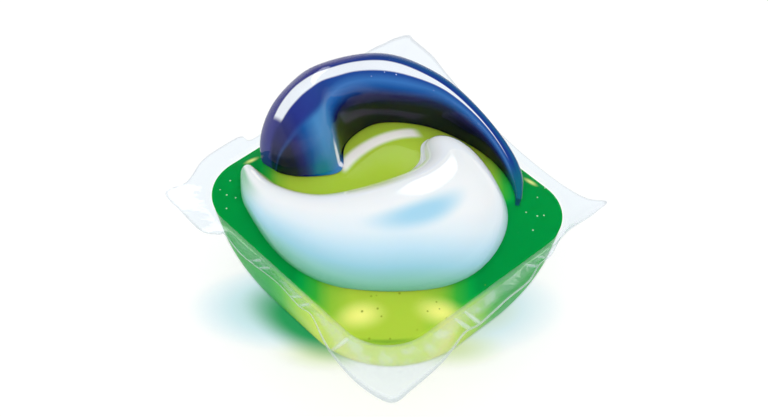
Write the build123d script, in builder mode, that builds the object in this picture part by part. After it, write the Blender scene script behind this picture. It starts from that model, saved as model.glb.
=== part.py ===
from build123d import *
import os

# A laundry pod: three films welded round their edge, and the three gels that they hold apart. Millimetres, +Z up,
# with the origin under its middle, on the surface that it rests on. The seal plane, where the films meet, is level.

# Seal and films
FILM = 0.1  # one layer of film
SEAL_LENGTH = 41.0  # outline where the films meet, along X
SEAL_WIDTH = 37.8  # and along Y
SEAL_RADIUS = 7.3  # its corners
SEAL_BAND = 0.9  # flat welded strip round the outline
FLANGE = 3.1  # film outside the outline on each side, the strip included

# Chambers, as depths and heights from the seal plane
BOWL_DEPTH = 15.3  # green, below
DOME_HEIGHT = 3.3  # green, above
WHITE_HEIGHT = 9.0  # crest of the white swirl
BLUE_HEIGHT = 13.8  # crest of the blue swirl
WHITE_CREST = 1.0  # height of its rounded crest on the outer side, for a half width of 1
BLUE_CREST = 1.15
WHITE_RISE = 0.62  # how upright its inner side is, from 0 to 1
BLUE_RISE = 0.9
CROWN = 0.62  # how broad a swirl's top is on the inner side, from 0 to 1
LEAST_SIDE = 0.1  # share of a swirl's height that is upright on the outer side, at the least

# Free edge of the film: the points of each side, from +X anticlockwise. Each has its share of the way along a
# level square, how far it lies out from the square, and how far up. The first of each side is a corner's tip.
EDGE = (
    (
        (0.02, 0.8, -2.6),
        (0.1, 1.2, -2.4),
        (0.21, 1.1, -1.8),
        (0.27, 1.0, -0.6),
        (0.33, 0.4, -0.2),
        (0.39, 0.7, -0.2),
        (0.51, 0.3, 0.1),
        (0.6, 0.3, 0.5),
        (0.67, -0.6, 1.1),
        (0.73, -1.0, 0.5),
        (0.8, -1.6, 2.6),
        (0.88, -1.1, 2.7),
        (0.95, -1.4, 2.2),
    ),
    (
        (0.04, -0.1, 1.9),
        (0.1, -1.3, 1.2),
        (0.22, -1.5, 0.6),
        (0.4, -1.0, 0.4),
        (0.58, -0.2, 1.0),
        (0.75, 0.9, 2.3),
        (0.83, 1.5, 2.9),
        (0.92, 1.7, 3.1),
    ),
    (
        (-0.05, -1.9, 2.6),
        (-0.02, -0.5, 1.9),
        (0.03, -0.3, 2.0),
        (0.1, 0.5, 1.4),
        (0.3, 0.2, 0.9),
        (0.48, -0.8, 0.3),
        (0.64, -1.3, 0.1),
        (0.68, -1.0, 1.6),
        (0.73, -0.8, 1.7),
        (0.83, -0.4, 0.9),
        (0.92, -1.5, -0.1),
    ),
    (
        (0.03, 0.1, 0.3),
        (0.12, 0.7, 0.5),
        (0.22, 0.7, 0.2),
        (0.27, -0.5, 0.5),
        (0.29, -0.9, 1.0),
        (0.37, -0.5, 0.7),
        (0.44, -0.4, 1.2),
        (0.54, -0.7, 1.3),
        (0.64, -0.4, 1.1),
        (0.69, -0.6, 1.2),
        (0.76, 0.1, -0.7),
        (0.82, 0.6, -1.2),
        (0.92, 0.5, -2.2),
    ),
)

# Shape of the bowl: share of its depth, share of the seal outline, and how far its corners have rounded off
BOWL = (
    (0.0, 1.0, 0.0),
    (0.34, 1.0, 0.28),
    (0.6, 0.968, 0.56),
    (0.8, 0.9, 0.8),
    (0.93, 0.765, 0.95),
    (1.0, 0.52, 1.0),
)
# Shape of the dome: shares of the seal outline, and how flat it is in the middle
DOME = (1.0, 0.94, 0.82, 0.62, 0.36, 0.1)
DOME_POWER = 2.6

# Swirls: stations from end to end, as shares of half the seal outline. Each has its inner point, its outer
# point, its share of the crest's height, and how far its inner foot spreads. The first and the last are buried
# in the dome.
WHITE = (
    ((-0.87, -0.6), (-0.86, -0.64), 0.06, 0.0),
    ((-0.83, -0.565), (-0.81, -0.68), 0.31, 0.0),
    ((-0.72, -0.555), (-0.66, -0.8), 0.43, 0.0),
    ((-0.56, -0.56), (-0.49, -0.865), 0.52, 0.0),
    ((-0.38, -0.5), (-0.25, -0.92), 0.63, 0.0),
    ((-0.22, -0.37), (0.04, -0.93), 0.74, 0.0),
    ((-0.12, -0.19), (0.36, -0.84), 0.86, 0.0),
    ((-0.06, -0.03), (0.66, -0.6), 0.95, 0.0),
    ((-0.02, 0.09), (0.85, -0.24), 1.0, 0.0),
    ((0.0, 0.22), (0.88, 0.11), 0.96, 0.0),
    ((-0.02, 0.34), (0.77, 0.43), 0.87, 0.0),
    ((-0.07, 0.42), (0.56, 0.62), 0.76, 0.0),
    ((-0.13, 0.48), (0.28, 0.73), 0.64, 0.0),
    ((-0.16, 0.54), (0.03, 0.73), 0.48, 0.0),
    ((-0.17, 0.6), (-0.1, 0.67), 0.12, 0.0),
)
BLUE = (
    ((-0.64, -0.47), (-0.74, -0.47), 0.11, 0.0),
    ((-0.57, -0.445), (-0.825, -0.46), 0.4, 0.0),
    ((-0.48, -0.385), (-0.91, -0.39), 0.62, 0.05),
    ((-0.38, -0.27), (-0.95, -0.27), 0.87, 0.2),
    ((-0.33, -0.12), (-0.97, -0.12), 1.0, 0.35),
    ((-0.47, 0.03), (-0.97, 0.06), 0.99, 0.2),
    ((-0.54, 0.22), (-0.96, 0.28), 0.92, 0.05),
    ((-0.52, 0.4), (-0.94, 0.62), 0.79, 0.0),
    ((-0.43, 0.54), (-0.8, 0.86), 0.72, 0.0),
    ((-0.3, 0.68), (-0.54, 0.95), 0.68, 0.0),
    ((-0.14, 0.78), (-0.25, 0.97), 0.63, 0.0),
    ((0.085, 0.845), (0.07, 0.97), 0.48, 0.0),
    ((0.29, 0.84), (0.32, 0.95), 0.33, 0.0),
    ((0.45, 0.79), (0.505, 0.875), 0.24, 0.0),
    ((0.59, 0.71), (0.625, 0.75), 0.16, 0.0),
    ((0.665, 0.63), (0.685, 0.65), 0.05, 0.0),
)

SEAL_Z = FILM + BOWL_DEPTH


def seal_outline(level, share=1.0, rounding=0.0, grow=0.0):
    """The seal's rounded rectangle at one level, scaled, with its corners rounded off towards a circle."""
    length = SEAL_LENGTH * share
    width = SEAL_WIDTH * share
    radius = SEAL_RADIUS * share * (1 - rounding) + 0.48 * min(length, width) * rounding
    with BuildSketch(Plane.XY.offset(level)) as sketch:
        RectangleRounded(length + 2 * grow, width + 2 * grow, radius + grow)
    return sketch.sketch


def bowl_sections(grow):
    """Outlines of the bowl from the seal plane down to its flat spot."""
    sections = []
    for depth, share, rounding in BOWL:
        level = SEAL_Z - depth * (BOWL_DEPTH + grow)
        sections.append(seal_outline(level, share, rounding, grow))
    return sections


def dome_sections(base):
    """Outlines of the dome, standing on a level."""
    return [seal_outline(base + DOME_HEIGHT * (1 - share**DOME_POWER), share) for share in DOME]


def swirl_sections(stations, height, crest, rise, grow):
    """Arches across a swirl, standing on the seal plane: upright on the outer side, and softer on the inner."""
    half_length = SEAL_LENGTH / 2
    half_width = SEAL_WIDTH / 2
    sections = []
    for inner, outer, share, toe in stations:
        start = Vector(inner[0] * half_length, inner[1] * half_width, SEAL_Z)
        end = Vector(outer[0] * half_length, outer[1] * half_width, SEAL_Z)
        across = (end - start).normalized()
        plane = Plane(origin=(start + end) / 2, x_dir=across, z_dir=across.cross(Vector(0, 0, 1)))
        reach = (end - start).length / 2 + grow
        tall = height * share + grow
        side = max(tall - crest * reach, LEAST_SIDE * tall)
        body = reach * (1 - toe)
        with BuildSketch(plane) as sketch:
            with BuildLine():
                Line((reach, 0), (reach, side))
                EllipticalCenterArc((0, side), reach, tall - side, arc_size=90)
                Bezier((0, tall), (-CROWN * body, tall), (-body, rise * tall * (1 - toe)), (-reach, 0))
                Line((-reach, 0), (reach, 0))
            make_face()
        sections.append(sketch.sketch)
    return sections


def swirl(stations, height, crest, rise, grow=0.0):
    """A swirl's solid, which runs down through the dome. Grown by the film, it is the outside of its cover."""
    with BuildPart() as solid:
        loft(sections=swirl_sections(stations, height, crest, rise, grow))
    return solid.part


def bowl_space():
    """The inside of the bowl, open upwards."""
    with BuildPart() as solid:
        loft(sections=bowl_sections(0))
        extrude(seal_outline(SEAL_Z), amount=BOWL_DEPTH)
    return solid.part


def under_dome(base):
    """All that lies under a dome that stands on a level, down through the bowl."""
    with BuildPart() as solid:
        loft(sections=dome_sections(base))
        extrude(seal_outline(base), amount=-BOWL_DEPTH)
    return solid.part


def free_edge():
    """Stations along each side of the film, as heights over the seal: a point on the edge of the welded strip, and
    one on the film's edge beyond it. The sides run anticlockwise from +X."""
    bend_x = SEAL_LENGTH / 2 - SEAL_RADIUS
    bend_y = SEAL_WIDTH / 2 - SEAL_RADIUS
    beyond = SEAL_RADIUS + FLANGE
    corners = [Vector(x * (bend_x + beyond), y * (bend_y + beyond)) for x, y in ((1, -1), (1, 1), (-1, 1), (-1, -1))]
    sides = []
    for side, points in enumerate(EDGE):
        start, end = corners[side], corners[(side + 1) % 4]
        outward = (end - start).normalized().cross(Vector(0, 0, 1))
        stations = []
        for share, out, up in points:
            square = start + (end - start) * share
            centre = Vector(min(max(square.X, -bend_x), bend_x), min(max(square.Y, -bend_y), bend_y))
            weld = centre + (square - centre).normalized() * (SEAL_RADIUS + SEAL_BAND)
            stations.append((weld, square + outward * out + Vector(0, 0, up)))
        sides.append(stations)
    return sides


def film_layer(layer):
    """One film before it is formed: its level sheet at the seal, and its free edge. Layer 0 is the lowest."""
    top = SEAL_Z + layer * FILM
    thickness = Vector(0, 0, FILM)
    sides = free_edge()
    with BuildPart() as solid:
        with BuildSketch(Plane.XY.offset(top - FILM)):
            with BuildLine():
                Polyline(*[(weld.X, weld.Y) for stations in sides for weld, edge in stations], close=True)
            make_face()
        extrude(amount=FILM)
        for side, stations in enumerate(sides):
            sections = []
            for weld, edge in stations + sides[(side + 1) % 4][:1]:
                near, far = weld + Vector(0, 0, top), edge + Vector(0, 0, top)
                sections.append(Face(Wire.make_polygon([near, far, far - thickness, near - thickness])))
            loft(sections=sections, ruled=True)
    return solid.part


with BuildPart() as green_gel:
    loft(sections=bowl_sections(0))
    loft(sections=dome_sections(SEAL_Z))

with BuildPart() as lower_film:
    add(film_layer(0))
    loft(sections=bowl_sections(FILM))
    add(bowl_space(), mode=Mode.SUBTRACT)

with BuildPart() as middle_film:
    add(film_layer(1))
    loft(sections=dome_sections(SEAL_Z + FILM))
    add(under_dome(SEAL_Z), mode=Mode.SUBTRACT)

with BuildPart() as white_gel:
    add(swirl(WHITE, WHITE_HEIGHT, WHITE_CREST, WHITE_RISE))
    add(under_dome(SEAL_Z + FILM), mode=Mode.SUBTRACT)

with BuildPart() as blue_gel:
    add(swirl(BLUE, BLUE_HEIGHT, BLUE_CREST, BLUE_RISE))
    add(under_dome(SEAL_Z + FILM), mode=Mode.SUBTRACT)

with BuildPart() as upper_film:
    add(film_layer(2))
    loft(sections=dome_sections(SEAL_Z + 2 * FILM))
    add(swirl(WHITE, WHITE_HEIGHT, WHITE_CREST, WHITE_RISE, FILM))
    add(swirl(BLUE, BLUE_HEIGHT, BLUE_CREST, BLUE_RISE, FILM))
    add(under_dome(SEAL_Z + FILM), mode=Mode.SUBTRACT)
    add(swirl(WHITE, WHITE_HEIGHT, WHITE_CREST, WHITE_RISE), mode=Mode.SUBTRACT)
    add(swirl(BLUE, BLUE_HEIGHT, BLUE_CREST, BLUE_RISE), mode=Mode.SUBTRACT)

pieces = {
    "lower_film": lower_film,
    "middle_film": middle_film,
    "upper_film": upper_film,
    "green_gel": green_gel,
    "white_gel": white_gel,
    "blue_gel": blue_gel,
}
os.makedirs("parts", exist_ok=True)
for name, piece in pieces.items():
    piece.part.label = name
    export_step(piece.part, f"parts/{name}.step")
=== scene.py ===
import math

import bmesh
import bpy
import numpy as np
from mathutils import Matrix


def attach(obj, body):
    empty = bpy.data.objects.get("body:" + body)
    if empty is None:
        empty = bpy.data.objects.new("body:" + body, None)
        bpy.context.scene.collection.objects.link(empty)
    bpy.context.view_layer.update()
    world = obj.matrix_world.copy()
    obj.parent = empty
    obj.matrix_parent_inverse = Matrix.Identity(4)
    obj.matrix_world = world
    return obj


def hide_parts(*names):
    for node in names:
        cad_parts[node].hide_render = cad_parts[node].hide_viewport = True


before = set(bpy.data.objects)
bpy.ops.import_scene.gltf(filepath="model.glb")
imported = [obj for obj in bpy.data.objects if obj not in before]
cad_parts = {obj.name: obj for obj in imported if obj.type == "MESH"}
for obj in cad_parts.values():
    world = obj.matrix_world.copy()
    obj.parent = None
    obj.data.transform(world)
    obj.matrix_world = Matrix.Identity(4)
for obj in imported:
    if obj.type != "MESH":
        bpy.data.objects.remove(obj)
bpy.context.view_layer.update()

# A laundry pod: three clear films welded round their edge, and the three gels that they hold apart

# Sizes in millimetres, as in the solid model
MM = 0.001  # in metres

# Seal and films
FILM = 0.1  # one layer of film
SEAL_LENGTH = 41.0  # outline where the films meet, along X
SEAL_WIDTH = 37.8  # and along Y
SEAL_RADIUS = 7.3  # its corners
SEAL_BAND = 0.9  # flat welded strip round the outline
FLANGE = 3.1  # film outside the outline on each side, the strip included

# Chambers, as depths and heights from the seal plane
BOWL_DEPTH = 15.3  # green, below
DOME_HEIGHT = 3.3  # green, above
DOME_POWER = 2.6  # how flat the dome is in the middle
WHITE_HEIGHT = 9.0  # crest of the white swirl
BLUE_HEIGHT = 13.8  # crest of the blue swirl
WHITE_CREST = 1.0  # height of its rounded crest on the outer side, for a half width of 1
BLUE_CREST = 1.15
WHITE_RISE = 0.62  # how upright its inner side is, from 0 to 1
BLUE_RISE = 0.9
CROWN = 0.62  # how broad a swirl's top is on the inner side, from 0 to 1
LEAST_SIDE = 0.1  # share of a swirl's height that is upright on the outer side, at the least
LEAST_SHARE = 0.01  # share of the crest's height that a swirl has at its ends, at the least
ROUNDEST = 0.96  # radius of a corner that is rounded off in full, for a half width of 1

# Free edge of the film: the points of each side, from +X anticlockwise. Each has its share of the way along a
# level square, how far it lies out from the square, and how far up. The first of each side is a corner's tip.
EDGE = (
    (
        (0.02, 0.8, -2.6),
        (0.1, 1.2, -2.4),
        (0.21, 1.1, -1.8),
        (0.27, 1.0, -0.6),
        (0.33, 0.4, -0.2),
        (0.39, 0.7, -0.2),
        (0.51, 0.3, 0.1),
        (0.6, 0.3, 0.5),
        (0.67, -0.6, 1.1),
        (0.73, -1.0, 0.5),
        (0.8, -1.6, 2.6),
        (0.88, -1.1, 2.7),
        (0.95, -1.4, 2.2),
    ),
    (
        (0.04, -0.1, 1.9),
        (0.1, -1.3, 1.2),
        (0.22, -1.5, 0.6),
        (0.4, -1.0, 0.4),
        (0.58, -0.2, 1.0),
        (0.75, 0.9, 2.3),
        (0.83, 1.5, 2.9),
        (0.92, 1.7, 3.1),
    ),
    (
        (-0.05, -1.9, 2.6),
        (-0.02, -0.5, 1.9),
        (0.03, -0.3, 2.0),
        (0.1, 0.5, 1.4),
        (0.3, 0.2, 0.9),
        (0.48, -0.8, 0.3),
        (0.64, -1.3, 0.1),
        (0.68, -1.0, 1.6),
        (0.73, -0.8, 1.7),
        (0.83, -0.4, 0.9),
        (0.92, -1.5, -0.1),
    ),
    (
        (0.03, 0.1, 0.3),
        (0.12, 0.7, 0.5),
        (0.22, 0.7, 0.2),
        (0.27, -0.5, 0.5),
        (0.29, -0.9, 1.0),
        (0.37, -0.5, 0.7),
        (0.44, -0.4, 1.2),
        (0.54, -0.7, 1.3),
        (0.64, -0.4, 1.1),
        (0.69, -0.6, 1.2),
        (0.76, 0.1, -0.7),
        (0.82, 0.6, -1.2),
        (0.92, 0.5, -2.2),
    ),
)

# Shape of the bowl: share of its depth, share of the seal outline, and how far its corners have rounded off
BOWL = (
    (0.0, 1.0, 0.0),
    (0.34, 1.0, 0.28),
    (0.6, 0.968, 0.56),
    (0.8, 0.9, 0.8),
    (0.93, 0.765, 0.95),
    (1.0, 0.52, 1.0),
)

# Swirls: stations from end to end, as shares of half the seal outline. Each has its inner point, its outer
# point, its share of the crest's height, and how far its inner foot spreads. The first and the last one are
# buried in the dome.
WHITE = (
    ((-0.87, -0.6), (-0.86, -0.64), 0.06, 0.0),
    ((-0.83, -0.565), (-0.81, -0.68), 0.31, 0.0),
    ((-0.72, -0.555), (-0.66, -0.8), 0.43, 0.0),
    ((-0.56, -0.56), (-0.49, -0.865), 0.52, 0.0),
    ((-0.38, -0.5), (-0.25, -0.92), 0.63, 0.0),
    ((-0.22, -0.37), (0.04, -0.93), 0.74, 0.0),
    ((-0.12, -0.19), (0.36, -0.84), 0.86, 0.0),
    ((-0.06, -0.03), (0.66, -0.6), 0.95, 0.0),
    ((-0.02, 0.09), (0.85, -0.24), 1.0, 0.0),
    ((0.0, 0.22), (0.88, 0.11), 0.96, 0.0),
    ((-0.02, 0.34), (0.77, 0.43), 0.87, 0.0),
    ((-0.07, 0.42), (0.56, 0.62), 0.76, 0.0),
    ((-0.13, 0.48), (0.28, 0.73), 0.64, 0.0),
    ((-0.16, 0.54), (0.03, 0.73), 0.48, 0.0),
    ((-0.17, 0.6), (-0.1, 0.67), 0.12, 0.0),
)
BLUE = (
    ((-0.64, -0.47), (-0.74, -0.47), 0.11, 0.0),
    ((-0.57, -0.445), (-0.825, -0.46), 0.4, 0.0),
    ((-0.48, -0.385), (-0.91, -0.39), 0.62, 0.05),
    ((-0.38, -0.27), (-0.95, -0.27), 0.87, 0.2),
    ((-0.33, -0.12), (-0.97, -0.12), 1.0, 0.35),
    ((-0.47, 0.03), (-0.97, 0.06), 0.99, 0.2),
    ((-0.54, 0.22), (-0.96, 0.28), 0.92, 0.05),
    ((-0.52, 0.4), (-0.94, 0.62), 0.79, 0.0),
    ((-0.43, 0.54), (-0.8, 0.86), 0.72, 0.0),
    ((-0.3, 0.68), (-0.54, 0.95), 0.68, 0.0),
    ((-0.14, 0.78), (-0.25, 0.97), 0.63, 0.0),
    ((0.085, 0.845), (0.07, 0.97), 0.48, 0.0),
    ((0.29, 0.84), (0.32, 0.95), 0.33, 0.0),
    ((0.45, 0.79), (0.505, 0.875), 0.24, 0.0),
    ((0.59, 0.71), (0.625, 0.75), 0.16, 0.0),
    ((0.665, 0.63), (0.685, 0.65), 0.05, 0.0),
)

# Values that follow from these
SEAL_Z = FILM + BOWL_DEPTH
HALF_X = SEAL_LENGTH / 2
HALF_Y = SEAL_WIDTH / 2
WHITE_SHAPE = (WHITE, WHITE_HEIGHT, WHITE_CREST, WHITE_RISE)
BLUE_SHAPE = (BLUE, BLUE_HEIGHT, BLUE_CREST, BLUE_RISE)

# The films, from the lowest up
LOWER, MIDDLE, UPPER = range(3)

# How finely the meshes are cut
AROUND = 480  # points round the film
BOWL_ROWS = 34
DOME_ROWS = 22
INNERMOST = 0.02  # how far along the rows the dome's first one lies
DOME_SPREAD = 0.8  # below 1 its rows are closer together towards the seal
STRIP_ROWS = 3  # on the welded strip
EDGE_ROWS = 14  # on the free edge
ALONG = 150  # arches along a swirl
OVER = 34  # points on each side of a swirl's crest
SIDE_ROWS = 8  # and down its upright side
UNDER = 12  # and under it

# Small distances in the meshes, in millimetres
GEL_GAP = 0.02  # between a gel and its film, so that no two faces fall together
SAME_POINT = 0.002  # points that are closer than this are one
SHORTEST_EDGE = 0.001

# The share of a film's gloss that the level film between the swirls shows
DOME_GLOSS = 0.35

# How free the film is on the welded strip, where its free part starts, and at its edge
STRIP_FREEDOM = 0.25
START_FREEDOM = 0.3
EDGE_FREEDOM = 1.0

# Shape of the outline, the dome and the swirls


def spline(values, count):
    """A natural cubic curve through rows of values, as count rows."""
    values = np.asarray(values, float)
    size = len(values)
    matrix, sides = np.eye(size), np.zeros_like(values)
    for i in range(1, size - 1):
        matrix[i, i - 1 : i + 2] = 1, 4, 1
        sides[i] = 6 * (values[i - 1] - 2 * values[i] + values[i + 1])
    bends = np.linalg.solve(matrix, sides) / 6
    places = np.linspace(0, size - 1, count)
    left = np.minimum(places.astype(int), size - 2)
    t = (places - left)[:, None]
    bent = ((1 - t) ** 3 - (1 - t)) * bends[left] + (t**3 - t) * bends[left + 1]
    return (1 - t) * values[left] + t * values[left + 1] + bent


def closed_spline(values, count):
    """A smooth closed curve through rows of values, as count rows."""
    size = len(values)
    places = np.arange(count) * size / count
    left = places.astype(int)
    t = (places - left)[:, None]
    a, b, c, d = (values[(left + k - 1) % size] for k in range(4))
    square, cube = 2 * a - 5 * b + 4 * c - d, 3 * b - a - 3 * c + d
    return 0.5 * (2 * b + (c - a) * t + square * t**2 + cube * t**3)


def round_the_film():
    """For points round the film, the place on a level square, and how far the free edge is moved from it."""
    corners = np.array([(1, -1), (1, 1), (-1, 1), (-1, -1)]) * (HALF_X + FLANGE, HALF_Y + FLANGE)
    outward = np.array([(1, 0), (0, 1), (-1, 0), (0, -1)])
    rows = []
    for side, points in enumerate(EDGE):
        start, end = corners[side], corners[(side + 1) % 4]
        for share, out, up in points:
            rows.append([*(start + (end - start) * share), *(outward[side] * out), up])
    rows = closed_spline(np.array(rows), AROUND)
    return rows[:, :2], rows[:, 2:]


# Round the film: the square and the shift of its edge, the end of the straight sides, and the way outwards
SQUARE, SHIFT = round_the_film()
BEND = np.array([HALF_X - SEAL_RADIUS, HALF_Y - SEAL_RADIUS])
WAY = SQUARE - np.clip(SQUARE, -BEND, BEND)
WAY /= np.linalg.norm(WAY, axis=1)[:, None]


def corner_centres(half_x, half_y, radius):
    """The centre of the corner's arc behind each point round the film, or the point behind it on a side."""
    return np.clip(SQUARE, -BEND, BEND) / BEND * (half_x - radius, half_y - radius)


def outline(share, rounding=0.0, grow=0.0):
    """The seal's outline, scaled, with its corners rounded off."""
    half_x, half_y = HALF_X * share, HALF_Y * share
    radius = SEAL_RADIUS * share * (1 - rounding) + ROUNDEST * min(half_x, half_y) * rounding
    return corner_centres(half_x, half_y, radius) + WAY * (radius + grow)


def row(points, level):
    """A ring of points at a level or levels."""
    return np.column_stack([points, np.broadcast_to(level, len(points))])


def dome_level(x, y):
    """Height of the dome over the seal plane."""
    x, y = np.abs(x), np.abs(y)
    flat = np.maximum(np.maximum(x / HALF_X, y / HALF_Y), 1e-6)
    cx, cy = BEND
    reach = x * cx + y * cy
    span = cx**2 + cy**2 - SEAL_RADIUS**2
    curved = (reach - np.sqrt(np.maximum(reach**2 - (x**2 + y**2) * span, 0))) / span
    in_corner = (x / flat > cx) & (y / flat > cy)
    share = np.minimum(np.where(in_corner, curved, flat), 1)
    return DOME_HEIGHT * (1 - share**DOME_POWER)


def swirl_arches(table, height, crest, rise, grow, bed):
    """Arches across a swirl, from its inner to its outer foot, on a bed so far over the seal plane's dome."""
    rows = spline([inner + outer + (share, toe) for inner, outer, share, toe in table], ALONG)
    scale = (HALF_X, HALF_Y)
    inner, outer = rows[:, 0:2] * scale, rows[:, 2:4] * scale
    tall = (height * np.maximum(rows[:, 4], LEAST_SHARE) + grow)[:, None]
    middle = (inner + outer) / 2
    across = outer - inner
    wide = np.linalg.norm(across, axis=1)[:, None]
    across = across / wide
    reach = wide / 2 + grow
    side = np.maximum(tall - crest * reach, LEAST_SIDE * tall)
    toe = np.maximum(rows[:, 5], 0)[:, None]
    body = reach * (1 - toe)

    # The inner side is a Bezier curve, and the outer side a quarter of an ellipse over an upright foot
    t = np.linspace(0, 1, OVER)[None, :-1]
    x_in = -reach * (1 - t) ** 3 - 3 * body * (1 - t) ** 2 * t - 3 * CROWN * body * (1 - t) * t**2
    z_in = 3 * rise * tall * (1 - toe) * (1 - t) ** 2 * t + tall * (3 * (1 - t) * t**2 + t**3)
    turn = np.linspace(math.pi / 2, 0, OVER)[None, :]
    x_out, z_out = reach * np.cos(turn), side + (tall - side) * np.sin(turn)
    fall = np.linspace(1, 0, SIDE_ROWS + 1)[None, 1:]
    x = np.hstack([x_in, x_out, reach * np.ones_like(fall)])
    level = np.hstack([z_in, z_out, side * fall])
    xy = middle[:, None, :] + across[:, None, :] * x[:, :, None]
    z = SEAL_Z + np.maximum(level, dome_level(xy[:, :, 0], xy[:, :, 1]) + bed)
    return np.dstack([xy, z])


# Meshes


def finish_mesh(name, points, faces, values, sharp=40):
    """A closed smooth piece, in metres, with a value per point for its material. Sharp is an edge's angle."""
    mesh = bpy.data.meshes.new(name)
    mesh.from_pydata((points * MM).tolist(), [], faces)
    for key, numbers in values.items():
        attribute = mesh.attributes.new(key, "FLOAT", "POINT")
        attribute.data.foreach_set("value", np.asarray(numbers, np.float32))
    work = bmesh.new()
    work.from_mesh(mesh)
    bmesh.ops.remove_doubles(work, verts=work.verts, dist=SAME_POINT * MM)
    bmesh.ops.dissolve_degenerate(work, edges=work.edges, dist=SHORTEST_EDGE * MM)
    bmesh.ops.recalc_face_normals(work, faces=work.faces)
    work.to_mesh(mesh)
    work.free()
    mesh.shade_smooth()
    mesh.set_sharp_from_angle(angle=math.radians(sharp))
    piece = bpy.data.objects.new(name, mesh)
    bpy.context.scene.collection.objects.link(piece)
    return piece


def ring_faces(count, size):
    """Quads between rings of points, for so many rings of one size."""
    faces = []
    for i in range(count - 1):
        a, b = i * size, (i + 1) * size
        for j in range(size):
            k = (j + 1) % size
            faces.append((a + j, a + k, b + k, b + j))
    return faces


def round_piece(rings, first, last, values):
    """Points and faces of a closed piece of rings, from a first to a last point on its axis."""
    points = np.vstack([np.vstack(rings), [first, last]])
    faces = ring_faces(len(rings), AROUND)
    top, bottom = len(points) - 2, len(points) - 1
    base = (len(rings) - 1) * AROUND
    for j in range(AROUND):
        k = (j + 1) % AROUND
        faces.append((top, k, j))
        faces.append((bottom, base + j, base + k))
    numbers = {key: np.concatenate([np.repeat(v, AROUND), [v[0], v[-1]]]) for key, v in values.items()}
    return points, faces, numbers


def tube(rings, values):
    """Points and faces of a closed tube of equal rings, with its two ends closed."""
    count, size = rings.shape[:2]
    faces = ring_faces(count, size)
    faces.append(tuple(range(size))[::-1])
    faces.append(tuple((count - 1) * size + j for j in range(size)))
    return rings.reshape(-1, 3), faces, {key: v.reshape(-1) for key, v in values.items()}


def joined(parts):
    """Points, faces and values of several shells as one piece."""
    points, faces, values, start = [], [], {}, 0
    for part_points, part_faces, part_values in parts:
        points.append(part_points)
        faces += [tuple(start + i for i in face) for face in part_faces]
        for key, numbers in part_values.items():
            values.setdefault(key, []).append(numbers)
        start += len(part_points)
    return np.vstack(points), faces, {key: np.concatenate(v) for key, v in values.items()}


# Pieces


def bowl_rows(grow):
    """Rings of the bowl, from the seal plane to its flat spot."""
    rows = []
    for depth, share, rounding in spline(BOWL, BOWL_ROWS):
        level = SEAL_Z - min(depth, 1) * (BOWL_DEPTH + grow)
        rows.append(row(outline(min(share, 1), min(max(rounding, 0), 1), grow), level))
    return rows


def dome_rows(base):
    """Rings of the dome, from its middle to the seal."""
    shares = np.linspace(INNERMOST, 1, DOME_ROWS) ** DOME_SPREAD
    return [row(outline(s), base + DOME_HEIGHT * (1 - s**DOME_POWER)) for s in shares]


def edge_rows(layer, face):
    """Rings of a film's welded strip and its free edge, outwards. Face 1 is its top, and 0 its underside."""
    base = SEAL_Z + (layer - 1 + face) * FILM
    centres = corner_centres(HALF_X, HALF_Y, SEAL_RADIUS)
    rows = []
    for step in range(1, STRIP_ROWS + 1):
        rows.append(row(centres + WAY * (SEAL_RADIUS + SEAL_BAND * step / STRIP_ROWS), base))
    near = rows[-1]
    far = row(SQUARE, base) + SHIFT
    for step in range(1, EDGE_ROWS + 1):
        rows.append(near + (far - near) * step / EDGE_ROWS)
    return rows


def free_values():
    """How free the film is at each ring of the strip and the free edge, outwards."""
    growth = EDGE_FREEDOM - START_FREEDOM
    edge = [START_FREEDOM + growth * (step + 1) / EDGE_ROWS for step in range(EDGE_ROWS)]
    return [STRIP_FREEDOM] * STRIP_ROWS + edge


def film_sheet(layer, inside, outside, middle):
    """A film of two faces that meet at its edge. Its skin is how much gloss its outer face shows."""
    over, under = inside + edge_rows(layer, 1), edge_rows(layer, 0)[::-1] + outside[::-1]
    free = [0.0] * len(inside) + free_values() + free_values()[::-1] + [0.0] * len(outside)
    top = [DOME_GLOSS] * len(inside) + [1.0] * (len(over) - len(inside))
    skin = [gloss * (layer == UPPER) for gloss in top] + [float(layer == LOWER)] * len(under)
    return round_piece(over + under, (0, 0, middle[0]), (0, 0, middle[1]), {"free": free, "skin": skin})


def lower_film():
    """The film of the bowl."""
    sheet = film_sheet(LOWER, bowl_rows(0)[::-1], bowl_rows(FILM)[::-1], (FILM, 0))
    return finish_mesh("pod_lower_film", *sheet)


def middle_film():
    """The film over the green gel."""
    high = SEAL_Z + DOME_HEIGHT
    sheet = film_sheet(MIDDLE, dome_rows(SEAL_Z + FILM), dome_rows(SEAL_Z), (high + FILM, high))
    return finish_mesh("pod_middle_film", *sheet)


def upper_film():
    """The top film, with its covers over the two swirls."""
    base = SEAL_Z + FILM
    high = base + DOME_HEIGHT
    parts = [film_sheet(UPPER, dome_rows(base + FILM), dome_rows(base), (high + FILM, high))]
    for shape in (WHITE_SHAPE, BLUE_SHAPE):
        outer = swirl_arches(*shape, FILM, FILM)
        inner = swirl_arches(*shape, 2 * GEL_GAP, FILM)
        rings = np.hstack([outer, inner[:, ::-1]])
        flat = np.zeros(rings.shape[:2])
        parts.append(tube(rings, {"free": flat, "skin": flat + 1}))
    return finish_mesh("pod_upper_film", *joined(parts))


def green_gel():
    """The gel in the bowl, under the dome."""
    rings = dome_rows(SEAL_Z - GEL_GAP) + bowl_rows(-GEL_GAP)[1:]
    values = {"depth": np.linspace(0, 1, len(rings))}
    body = round_piece(rings, (0, 0, SEAL_Z + DOME_HEIGHT - GEL_GAP), (0, 0, FILM + GEL_GAP), values)
    return finish_mesh("pod_green_gel", *body)


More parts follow.
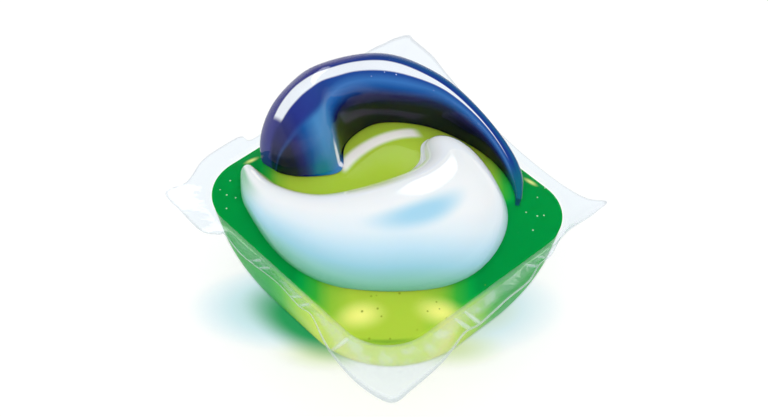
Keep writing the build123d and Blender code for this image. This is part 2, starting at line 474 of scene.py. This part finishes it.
def swirl_gel(name, shape):
    """The gel of a swirl, on the dome, with how far along and around each point is."""
    arch = swirl_arches(*shape, 0.0, FILM)
    back, front = arch[:, 0], arch[:, -1]
    share = np.linspace(0, 1, UNDER + 2)[1:-1]
    xy = front[:, None, :2] + (back - front)[:, None, :2] * share[None, :, None]
    under = np.dstack([xy, SEAL_Z + dome_level(xy[:, :, 0], xy[:, :, 1]) + FILM])
    rings = np.hstack([arch, under])
    size = rings.shape[1]
    around = np.concatenate([np.linspace(0, 1, arch.shape[1]), np.full(UNDER, 0.5)])
    values = {
        "along": np.repeat(np.linspace(0, 1, ALONG)[:, None], size, 1),
        "around": np.repeat(around[None, :], ALONG, 0),
    }
    return finish_mesh(name, *tube(rings, values), sharp=60)


# Colours, as red, green and blue in hexadecimal. Places in plan are in millimetres: to the right, and towards
# the drooping corner. Places on a swirl are shares of its length, and of the way over it from its inner foot.
# A ramp is a row of places from 0 to 1 with their colours. A spot is a soft oval: its centre, half lengths,
# turn in degrees, even share and colour.

# Film: how it bends light, how rough it is, and its crinkles, as how many to a millimetre and how high
FILM_IOR = 1.45
FILM_ROUGHNESS = 0.05
CRINKLE_SCALE = 0.4
CRINKLE_HEIGHT = 0.3

# Folds across the free film at the drooping corner, as milky haze with painted highlights: the place and turn
# of each, and what all have in common
FOLDS = (
    ((-16.9, 10.3), 50),
    ((-15.8, 11.8), 50),
    ((-11.3, 16.8), 54),
    ((-10.2, 18.1), 46),
    ((-5.4, 24.2), 60),
    ((10.2, 21.5), -50),
    ((11.5, 20.4), -46),
    ((19.1, 11.2), -50),
    ((20.4, 9.6), -56),
)
FOLD_SIZE = (0.6, 3.4)
FOLD_HAZE_AND_HIGHLIGHT = 0.42

# Green gel, from its middle to its side corners: on top, and in the bowl
GREEN_TOP = ((0.0, "B0D040"), (0.35, "90C63A"), (0.62, "38B23A"), (0.85, "04A645"), (1.0, "009440"))
GREEN_BOWL = ((0.0, "D8F24C"), (0.45, "A0DC3C"), (0.75, "4CBE38"), (1.0, "22AC3E"))
# Painted light on the green gel: two glow spots in front, and two glints at the side corners
GREEN_PAINTED_GLOW_AND_GLINTS = (
    ((-3.4, 20.7), (4.4, 2.6), 0, 0.0, "F2F684"),
    ((7.2, 19.8), (4.4, 2.6), 0, 0.0, "F2F684"),
    ((20.6, -3.6), (1.5, 0.7), 40, 0.0, "E8F294"),
    ((-19.4, -7.6), (1.5, 0.7), -30, 0.0, "E8F294"),
)

# The darker arc of painted shade along the rim at the front corner: the circle that it lies outside, and the
# oval that it lies in
SHADE_ARC_CIRCLE = ((0.0, 9.0), (15.5, 15.5))
SHADE_ARC_OVAL = ((0.0, 24.0), (7.0, 1.8))

# The painted highlight streak between the swirls: the circle that it follows, and the oval that it lies in
PAINTED_HIGHLIGHT_CIRCLE = ((6.5, 2.8), (14.4, 14.4))
PAINTED_HIGHLIGHT_OVAL = ((-1.5, -8.5), (7.5, 7.5))

# The share of light that passes through the green gel to the floor
GREEN_CLARITY = 0.8

# White gel, from its inner to its outer foot, with painted shade in pale blue and aqua low on its outer side,
# turning green at its foot, and the pale blue spot on its crest, a painted reflection
WHITE_WITH_PAINTED_SHADE = (
    (0.0, "F6FBFD"),
    (0.45, "F6FBFE"),
    (0.56, "E6F4FD"),
    (0.64, "C8E9F9"),
    (0.72, "A4D9E8"),
    (0.8, "86CAB8"),
    (0.88, "5DB184"),
    (1.0, "2E9A55"),
)
WHITE_PAINTED_REFLECTION = (((0.565, 0.51), (0.12, 0.085), 0, 0.2, "AEDDF3"),)

# Blue gel: up its inner side, then along the inner side and the crown of its head. Near black low on the
# inner side is painted shade, and the lighter mid blue band is a painted reflection
BLUE_INNER_SHADE_AND_REFLECTION = (
    (0.0, "01021A"),
    (0.125, "030420"),
    (0.175, "181854"),
    (0.225, "1E5CAC"),
    (0.27, "3C7AC4"),
    (0.33, "2450A0"),
    (0.42, "1A3C90"),
)
BLUE_HEAD_SHADE_AND_REFLECTION = (
    (0.04, "010422"),
    (0.12, "070B34"),
    (0.155, "212470"),
    (0.19, "0F55A0"),
    (0.235, "4C90CC"),
    (0.285, "4A8CC8"),
    (0.34, "2B66AC"),
)
BLUE_CROWN = ((0.06, "090F40"), (0.14, "1E2468"), (0.2, "2C3A90"), (0.3, "2A4694"))
BLUE_FOOT_SPOTS = (((0.215, 0.06), (0.05, 0.09), 0, 0.0, "1688A4"),)
BLUE_GLINTS = (
    ((0.28, 0.06), (0.012, 0.1), 0, 0.5, "F0F4FF"),
    ((0.155, 0.88), (0.02, 0.06), 0, 0.0, "A874E0"),
)

# About how many millimetres the blue swirl is long, and how many it is over its top, for its painted sparkles
BLUE_LENGTHS = (90.0, 26.0, 0.0)

# Floor: the painted pale glow on the left and on the right, each as an oval and the colours from its middle
# outwards, and the painted coloured light and shadow in it
LEFT_OVAL = ((-13.0, 6.5), (16.0, 8.5))
LEFT_GLOW = ((0.3, "B4DCD8"), (0.6, "D2ECF2"), (0.8, "EAF6FB"), (1.0, "FFFFFF"))
RIGHT_OVAL = ((12.0, 7.5), (14.5, 8.5), -8)
RIGHT_GLOW = ((0.3, "D4E8DC"), (0.55, "DEF0F6"), (0.8, "F0F8FC"), (1.0, "FFFFFF"))
FLOOR_PAINTED_LIGHT_AND_SHADOW = (
    ((-8.5, 14.5), (9.0, 4.4), 0, 0.0, "DAE8BA"),
    ((9.5, 14.0), (9.0, 4.4), 0, 0.0, "DAE8BA"),
    ((-11.2, 9.2), (11.8, 6.2), 32, 0.35, "2EA05E"),
)

# The bearing of the drooping corner from the pod's middle, from -Y towards +X. The camera stands on it too
FRONT = math.radians(48)

# Materials


def colour(hexed):
    """A colour written as red, green and blue in hexadecimal, as linear light by the usual screen curve."""
    parts = [int(hexed[i : i + 2], 16) / 255 for i in (0, 2, 4)]
    return tuple(p / 12.92 if p <= 0.04045 else ((p + 0.055) / 1.055) ** 2.4 for p in parts) + (1.0,)


def grey(level):
    """An even grey, as linear light."""
    return (level, level, level, 1)


class Graph:
    """The nodes of a material or of the world, added one by one."""

    def __init__(self, holder):
        holder.use_nodes = True
        self.tree = holder.node_tree
        self.tree.nodes.clear()

    def put(self, value, socket):
        """Gives a socket a number, a colour or another node's output."""
        if isinstance(value, bpy.types.NodeSocket):
            self.tree.links.new(value, socket)
        else:
            socket.default_value = value

    def add(self, kind, inputs=None, output=0, **options):
        """A node with its options and inputs. Gives one of its outputs, if it has any."""
        node = self.tree.nodes.new("ShaderNode" + kind)
        for key, value in options.items():
            setattr(node, key, value)
        for key, value in (inputs or {}).items():
            self.put(value, node.inputs[key])
        return node.outputs[output] if node.outputs else None

    def math(self, operation, first, *others):
        """Arithmetic of numbers and outputs, from the first to the last."""
        for other in others:
            first = self.add("Math", {0: first, 1: other}, operation=operation)
        return first

    def plus(self, *values):
        """The sum of several numbers and outputs."""
        return self.math("ADD", *values)

    def minus(self, *values):
        """The first of several numbers and outputs, less the others."""
        return self.math("SUBTRACT", *values)

    def times(self, *values):
        """The product of several numbers and outputs."""
        return self.math("MULTIPLY", *values)

    def most(self, *values):
        """The largest of several numbers and outputs."""
        return self.math("MAXIMUM", *values)

    def apart(self, first, second):
        """How far two numbers are apart."""
        return self.add("Math", {0: self.minus(first, second)}, operation="ABSOLUTE")

    def vector(self, operation, *values, output="Vector"):
        """Arithmetic of vectors. Gives a vector, or a number where the output is Value."""
        return self.add("VectorMath", dict(enumerate(values)), output, operation=operation)

    def part(self, vector, axis):
        """One of a vector's numbers: its X, Y or Z."""
        return self.add("SeparateXYZ", {0: vector}, axis)

    def smooth(self, value, low, high, start=0.0, end=1.0):
        """A smooth step from start to end while a value goes from low to high."""
        inputs = {"Value": value, "From Min": low, "From Max": high, "To Min": start, "To Max": end}
        return self.add("MapRange", inputs, interpolation_type="SMOOTHSTEP")

    def attribute(self, name):
        """One of the values that the mesh keeps for its points."""
        return self.add("Attribute", output="Fac", attribute_name=name)

    def ray(self, kind):
        """1 where the light path's ray is of a kind."""
        return self.add("LightPath", output="Is " + kind + " Ray")

    def blend(self, factor, first, second, how="MIX"):
        """A mix or product of two colours."""
        node = self.tree.nodes.new("ShaderNodeMix")
        node.data_type = "RGBA"
        node.blend_type = how
        for value, socket in ((factor, 0), (first, 6), (second, 7)):
            self.put(value, node.inputs[socket])
        return node.outputs[2]

    def paint(self, base, share, hexed):
        """A colour over a base, with a share from 0 to 1."""
        return self.blend(share, base, colour(hexed))

    def ramp(self, value, stops):
        """Colours at places between 0 and 1."""
        ramp = self.add("ValToRGB", {"Fac": value})
        elements = ramp.node.color_ramp.elements
        while len(elements) < len(stops):
            elements.new(0.5)
        for element, (place, hexed) in zip(elements, stops):
            element.position = place
            element.color = colour(hexed)
        return ramp

    def distance(self, place, centre, size, turn=0.0):
        """How far a place is from an oval's centre: 1 on the oval."""
        inputs = {
            "Vector": place,
            "Location": (*centre, 0),
            "Rotation": (0, 0, math.radians(turn)),
            "Scale": (*size, 1),
        }
        local = self.add("Mapping", inputs, vector_type="TEXTURE")
        return self.vector("LENGTH", local, output="Value")

    def spot(self, place, centre, size, turn=0.0, core=0.0):
        """A soft oval: 1 in its core, and 0 from its rim on."""
        return self.smooth(self.distance(place, centre, size, turn), 1.0, core)

    def spots(self, base, place, table):
        """Spots of colour over a base, from a table."""
        for centre, size, turn, core, hexed in table:
            base = self.paint(base, self.spot(place, centre, size, turn, core), hexed)
        return base

    def dots(self, place, scale, size, core=0.6):
        """Scattered dots: so many to a unit of length, of a size for a spacing of 1, with an even core."""
        cells = self.add("TexVoronoi", {"Vector": place, "Scale": scale}, "Distance")
        return self.smooth(cells, size, size * core)

    def mix_shader(self, factor, first, second):
        """A mix of two shaders."""
        return self.add("MixShader", {0: factor, 1: first, 2: second})

    def output(self, shader):
        """Ends the graph of a material."""
        self.add("OutputMaterial", {"Surface": shader})


def new_material(name):
    """A material and its graph."""
    material = bpy.data.materials.new(name)
    return material, Graph(material)


def plan(graph):
    """Place in plan, in millimetres: Y towards the drooping corner, and X to the right, seen from there."""
    place = graph.add("TexCoord", output="Object")
    turned = graph.add("VectorRotate", {"Vector": place, "Angle": -FRONT}, rotation_type="Z_AXIS")
    return graph.vector("MULTIPLY", turned, (1 / MM, -1 / MM, 0))


def film_haze_and_highlights(graph, place, free, crinkle, haze):
    """How milky the film is at the drooping corner: a haze, raised into painted highlights in its crinkles,
    at its very edge and in its folds.
    """
    front = graph.part(place, "Y")
    near = graph.smooth(front, 2.0, 7.0)
    # Painted highlights: the haze is raised in the crinkles, at the very edge and in the folds
    crinkled = graph.smooth(crinkle, 0.42, 0.66, 0.7, 1.9)
    side = graph.times(near, graph.smooth(front, 6.0, 20.0, 0.45, 1.0))
    haze_and_highlights = graph.times(graph.smooth(free, 0.1, 0.3), graph.smooth(free, 0.85, 0.5), side, crinkled, haze)
    haze_and_highlights = graph.most(haze_and_highlights, graph.times(graph.smooth(free, 0.9, 0.96), near, 0.3))
    loose = graph.smooth(free, 0.2, 0.3)
    for centre, turn in FOLDS:
        crease = graph.spot(place, centre, FOLD_SIZE, turn)
        haze_and_highlights = graph.most(haze_and_highlights, graph.times(crease, loose, FOLD_HAZE_AND_HIGHLIGHT))
    return haze_and_highlights


def film_material(name, haze=0.0):
    """Clear soluble film: glossy on its outer face, crinkled where it is free, and milky if it has haze, with
    painted highlights in that haze.
    """
    material, graph = new_material(name)
    free, skin = graph.attribute("free"), graph.attribute("skin")
    place = plan(graph)
    noise = {"Vector": place, "Scale": CRINKLE_SCALE, "Detail": 2.0, "Roughness": 0.5}
    crinkle = graph.add("TexNoise", noise)
    strength = graph.smooth(free, 0.05, 0.4, 0.0, 0.3)
    bump = graph.add("Bump", {"Strength": strength, "Distance": CRINKLE_HEIGHT * MM, "Height": crinkle})
    gloss = graph.add("BsdfGlossy", {"Color": grey(1), "Roughness": FILM_ROUGHNESS, "Normal": bump})
    tint = graph.paint(grey(1), graph.smooth(free, 0.02, 0.2), "FDFEFF")
    tint = graph.paint(tint, graph.smooth(free, 0.93, 0.99), "F9FAFB")
    through = graph.add("BsdfTransparent", {"Color": tint})
    if haze:
        white = graph.add("BsdfDiffuse", {"Color": colour("F2F8F8"), "Normal": bump})
        through = graph.mix_shader(film_haze_and_highlights(graph, place, free, crinkle, haze), through, white)
    fresnel = graph.add("Fresnel", {"IOR": FILM_IOR, "Normal": bump})
    outer = graph.minus(1.0, graph.add("NewGeometry", output="Backfacing"))
    graph.output(graph.mix_shader(graph.times(fresnel, outer, skin), through, gloss))
    return material


def gel(graph, base, subsurface, radius):
    """A gel's shader: soft, with no gloss of its own, because the film over it has that."""
    inputs = {
        "Base Color": base,
        "Roughness": 0.5,
        "Specular IOR Level": 0.0,
        "Subsurface Weight": subsurface,
        "Subsurface Radius": radius,
        "Subsurface Scale": MM,
    }
    return graph.add("BsdfPrincipled", inputs)


def green_material():
    """Green gel: emerald at its side corners, yellow-green in the middle, with small bubbles, and painted
    light and shade: glow spots, glints, a highlight streak and a darker arc.
    """
    material, graph = new_material("green_gel")
    place = plan(graph)
    front = graph.part(place, "Y")
    sideways = graph.apart(graph.part(place, "X"), 0.0)

    # The colours start and end farther out behind the swirls and in the bowl
    bowl = graph.smooth(graph.attribute("depth"), 0.38, 0.42)
    top = graph.minus(1.0, bowl)
    back = graph.times(graph.smooth(front, 6.0, 0.5), top)
    start = graph.plus(graph.times(back, 9.0), graph.times(bowl, 4.5), 4.5)
    reach = graph.minus(8.0, graph.plus(graph.times(back, 3.0), graph.times(bowl, 0.5)))
    outwards = graph.math("DIVIDE", graph.minus(sideways, start), reach)
    base = graph.blend(bowl, graph.ramp(outwards, GREEN_TOP), graph.ramp(outwards, GREEN_BOWL))

    # The darker arc of painted shade along the rim
    outside = graph.minus(1.0, graph.spot(place, *SHADE_ARC_CIRCLE, core=0.97))
    arc = graph.times(outside, graph.spot(place, *SHADE_ARC_OVAL), 0.9, top)
    base = graph.paint(base, arc, "6FA42C")
    # Painted glow spots in front, and painted glints at the side corners
    base = graph.spots(base, place, GREEN_PAINTED_GLOW_AND_GLINTS)

    # The white streak, a painted highlight
    ring = graph.apart(graph.distance(place, *PAINTED_HIGHLIGHT_CIRCLE), 1.0)
    streak = graph.times(graph.smooth(ring, 0.095, 0.03), graph.spot(place, *PAINTED_HIGHLIGHT_OVAL, core=0.8))
    base = graph.paint(base, streak, "FFFFF4")

    # Specks in front, and bubbles at the side corners
    specks_and_sparkles = graph.times(graph.dots(place, 0.62, 0.13), graph.smooth(front, 13.0, 17.0), top, 0.8)
    base = graph.paint(base, specks_and_sparkles, "86A024")
    bubbles = graph.times(graph.dots(place, 0.8, 0.1), graph.smooth(sideways, 18.0, 20.0))
    base = graph.paint(base, bubbles, "E8F8E4")

    # The gel lets coloured light through to the floor
    shader = gel(graph, base, subsurface=0.3, radius=(0.6, 2.0, 0.6))
    tint = graph.add("BsdfTransparent", {"Color": colour("9BD8A0")})
    graph.output(graph.mix_shader(graph.times(graph.ray("Shadow"), GREEN_CLARITY), shader, tint))
    return material


def swirl_place(graph):
    """Place on a swirl: how far along, how far around from its inner foot, and both as a vector."""
    along, around = graph.attribute("along"), graph.attribute("around")
    return along, around, graph.add("CombineXYZ", {0: along, 1: around})


def white_material():
    """White gel: painted shade in pale blue and aqua low down on its outer side, a painted reflection on its
    crest, and greenish at its thin end.
    """
    material, graph = new_material("white_gel")
    along, around, place = swirl_place(graph)

    # The outer side's painted shade lies lower towards both ends, and the painted reflection lies on its
    # crest
    end = graph.smooth(along, 0.5, 0.72, 0.0, 0.2)
    start = graph.smooth(along, 0.36, 0.22, 0.0, 0.07)
    base = graph.ramp(graph.minus(around, end, start), WHITE_WITH_PAINTED_SHADE)
    base = graph.spots(base, place, WHITE_PAINTED_REFLECTION)

    # Green shows through the thin end, and along the foot of the inner side
    thin = graph.times(graph.smooth(along, 0.26, 0.1), graph.smooth(around, 0.46, 0.58), 0.9)
    base = graph.paint(base, thin, "7CC494")
    inner = graph.times(graph.smooth(around, 0.34, 0.24), graph.smooth(along, 0.64, 0.5), 0.85)
    base = graph.paint(base, inner, "C8DA88")
    graph.output(gel(graph, base, subsurface=0.2, radius=(1.0, 1.5, 2.0)))
    return material


def blue_material():
    """Blue gel: indigo to teal outside, a painted highlight strip over its crown, a painted reflection band
    on its inner side, and painted shade nearly black inside its curl.
    """
    material, graph = new_material("blue_gel")
    along, around, place = swirl_place(graph)

    # Inner side, with painted shade low down and a painted reflection band, and the head's colours on it and
    # on its crown
    base = graph.ramp(around, BLUE_INNER_SHADE_AND_REFLECTION)
    head = graph.times(graph.smooth(along, 0.33, 0.27), graph.smooth(around, 0.34, 0.28))
    base = graph.blend(head, base, graph.ramp(along, BLUE_HEAD_SHADE_AND_REFLECTION))
    crown = graph.times(graph.smooth(along, 0.36, 0.28), graph.smooth(around, 0.28, 0.36))
    base = graph.blend(crown, base, graph.ramp(along, BLUE_CROWN))

    # Outer side, and the teal end
    outer = graph.blend(graph.smooth(along, 0.4, 0.62), colour("2B2E84"), colour("1B5A92"))
    base = graph.blend(graph.smooth(around, 0.44, 0.54), base, outer)
    base = graph.paint(base, graph.smooth(along, 0.83, 0.91), "0F6C82")
    base = graph.spots(base, place, BLUE_FOOT_SPOTS)

    # The painted highlight strip along the crown, which narrows towards the tail
    bend, tail = graph.smooth(along, 0.24, 0.4, 0.52, 0.405), graph.smooth(along, 0.5, 0.72, 0.0, -0.04)
    middle = graph.plus(bend, tail)
    half = graph.smooth(along, 0.5, 0.84, 0.05, 0.004)
    strip = graph.smooth(graph.minus(graph.apart(around, middle), half), 0.01, -0.008)
    strip = graph.times(strip, graph.smooth(along, 0.152, 0.168), graph.smooth(along, 0.84, 0.8))
    base = graph.paint(base, strip, "F2F8FF")

    # Painted sparkles beside the highlight strip, and painted glints
    below = graph.minus(middle, around)
    specks_and_sparkles = graph.dots(graph.vector("MULTIPLY", place, BLUE_LENGTHS), 0.6, 0.12)
    specks_and_sparkles = graph.times(specks_and_sparkles, graph.smooth(below, 0.04, 0.06), graph.smooth(below, 0.12, 0.09))
    base = graph.paint(base, specks_and_sparkles, "B8C8F6")
    base = graph.spots(base, place, BLUE_GLINTS)
    graph.output(gel(graph, base, subsurface=0.0, radius=(0.5, 0.5, 1.0)))
    return material


def dress(piece, material, node):
    """Gives a piece its material, and puts it in the place of its solid."""
    piece.data.materials.append(material)
    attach(piece, "root")
    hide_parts(node)


dress(lower_film(), film_material("lower_film"), "lower_film")
dress(middle_film(), film_material("middle_film", haze=0.13), "middle_film")
dress(upper_film(), film_material("upper_film"), "upper_film")
dress(green_gel(), green_material(), "green_gel")
dress(swirl_gel("pod_white_gel", WHITE_SHAPE), white_material(), "white_gel")
dress(swirl_gel("pod_blue_gel", BLUE_SHAPE), blue_material(), "blue_gel")

# Floor, light and camera, in metres

# Floor: how much light it gives back to the camera's rays and to all others, what it adds to reach white, and
# how far it goes
FLOOR_SEEN = 0.3
FLOOR_TRUE = 0.86
FLOOR_LIFT = 0.76
FLOOR_REACH = 3.0

# Room: its even light, and the light that gloss shows instead, from the floor up to overhead
ROOM_LIGHT = 0.84
ROOM_GLOSS = (0.5, 0.1)

# Window, which gloss alone shows: the degrees that film tilts backwards where it shows the window's middle,
# how many about that still show the window, its soft rim in degrees, and its light
WINDOW_TILT = 10
WINDOW_REACH = 8
WINDOW_RIM = 1
WINDOW_LIGHT = 3

# Camera: its angle over the floor and how far it is from the middle of the pod at the seal, then the width of
# the photograph's frame, the focal length and the two shifts in pixels, and the sensor's width in millimetres
ELEVATION = math.radians(48)
DISTANCE = 0.221
PHOTO_WIDTH = 768
FOCAL_LENGTH = 1564.7
SHIFT_RIGHT = -2
SHIFT_UP = -5.5
SENSOR_WIDTH = 36
CLIP_START = 0.01  # the nearest that it sees, in metres

# How many layers of film one ray of light may pass
MOST_LAYERS = 32

# The middle of the pod at the seal, and directions as the camera sees the pod
CENTRE = np.array([0, 0, SEAL_Z * MM])
BACK = np.array([-math.sin(FRONT), math.cos(FRONT), 0])
RIGHT = np.array([math.cos(FRONT), math.sin(FRONT), 0])
UP = np.array([0, 0, 1])
TO_CAMERA = UP * math.sin(ELEVATION) - BACK * math.cos(ELEVATION)


def floor():
    """A floor that reads as white, and keeps the shadow and the coloured light from the gels, with painted
    coloured light and shadow round the pod.
    """
    material, graph = new_material("floor")
    place = plan(graph)
    # Painted coloured light and shadow round the pod
    left = graph.ramp(graph.distance(place, *LEFT_OVAL), LEFT_GLOW)
    right = graph.ramp(graph.distance(place, *RIGHT_OVAL), RIGHT_GLOW)
    glow = graph.spots(graph.blend(1.0, left, right, "MULTIPLY"), place, FLOOR_PAINTED_LIGHT_AND_SHADOW)
    seen = graph.ray("Camera")
    share = graph.blend(seen, grey(FLOOR_TRUE), grey(FLOOR_SEEN))
    lit = graph.add("BsdfDiffuse", {"Color": graph.blend(1.0, glow, share, "MULTIPLY")})
    lift = graph.add("Emission", {"Color": glow, "Strength": graph.times(seen, FLOOR_LIFT)})
    graph.output(graph.add("AddShader", {0: lit, 1: lift}))
    mesh = bpy.data.meshes.new("floor")
    corners = [(x * FLOOR_REACH, y * FLOOR_REACH, 0) for x, y in ((-1, -1), (1, -1), (1, 1), (-1, 1))]
    mesh.from_pydata(corners, [], [(0, 1, 2, 3)])
    mesh.materials.append(material)
    ground = bpy.data.objects.new("floor", mesh)
    bpy.context.scene.collection.objects.link(ground)


def aim(thing, target):
    """Turns a lamp or the camera to look at a point."""
    way = target - np.array(thing.location)
    across = np.cross(way, UP)
    up = np.cross(across, way)
    axes = np.array([across / np.linalg.norm(across), up / np.linalg.norm(up), -way / np.linalg.norm(way)])
    thing.rotation_euler = Matrix(axes.T.tolist()).to_euler()


def softbox(name, azimuth, elevation, distance, size, strength):
    """A rectangular lamp that faces the pod, so many degrees to the left of straight behind it, and up."""
    a, e = math.radians(azimuth), math.radians(elevation)
    level = BACK * math.cos(a) - RIGHT * math.sin(a)
    lamp = bpy.data.lights.new(name, "AREA")
    lamp.shape = "RECTANGLE"
    lamp.size, lamp.size_y = size
    lamp.energy = strength * size[0] * size[1] * math.pi
    thing = bpy.data.objects.new(name, lamp)
    bpy.context.scene.collection.objects.link(thing)
    thing.location = CENTRE + distance * (level * math.cos(e) + UP * math.sin(e))
    aim(thing, CENTRE)
    thing.visible_camera = False
    thing.visible_glossy = False


def studio():
    """An even pale room, with a round window behind the pod that only its gloss shows."""
    world = bpy.data.worlds.new("studio")
    bpy.context.scene.world = world
    graph = Graph(world)
    way = graph.add("TexCoord", output="Generated")

    # Film that shows a direction in its gloss faces halfway between it and where the picture was taken from
    half = graph.vector("NORMALIZE", graph.vector("ADD", way, tuple(TO_CAMERA)))
    tilt = math.radians(WINDOW_TILT)
    middle = UP * math.cos(tilt) + BACK * math.sin(tilt)
    near = graph.vector("DOT_PRODUCT", half, tuple(middle), output="Value")
    rim = [math.cos(math.radians(WINDOW_REACH + soft)) for soft in (WINDOW_RIM, -WINDOW_RIM)]
    window = graph.times(graph.smooth(near, *rim), WINDOW_LIGHT)

    # Gloss shows a darker room with the window, and the room itself is white behind the pod
    room = graph.smooth(graph.part(way, "Z"), 0.05, 0.3, *ROOM_GLOSS)
    change = graph.times(graph.ray("Glossy"), graph.minus(graph.plus(room, window), ROOM_LIGHT))
    light = graph.most(graph.plus(change, ROOM_LIGHT), graph.ray("Camera"))
    background = graph.add("Background", {"Color": grey(1), "Strength": light})
    graph.add("OutputWorld", {"Surface": background})


floor()
softbox("key", azimuth=-20, elevation=60, distance=0.6, size=(0.4, 0.4), strength=1.0)
softbox("fill", azimuth=170, elevation=40, distance=0.6, size=(0.5, 0.4), strength=0.9)
studio()

camera = bpy.data.objects.new("camera", bpy.data.cameras.new("camera"))
bpy.context.scene.collection.objects.link(camera)
camera.location = CENTRE + DISTANCE * TO_CAMERA
aim(camera, CENTRE)
camera.data.sensor_width = SENSOR_WIDTH
camera.data.lens = FOCAL_LENGTH / PHOTO_WIDTH * SENSOR_WIDTH
camera.data.shift_x = SHIFT_RIGHT / PHOTO_WIDTH
camera.data.shift_y = SHIFT_UP / PHOTO_WIDTH
camera.data.clip_start = CLIP_START
bpy.context.scene.camera = camera
bpy.context.scene.view_settings.view_transform = "Standard"
bpy.context.scene.cycles.transparent_max_bounces = MOST_LAYERS
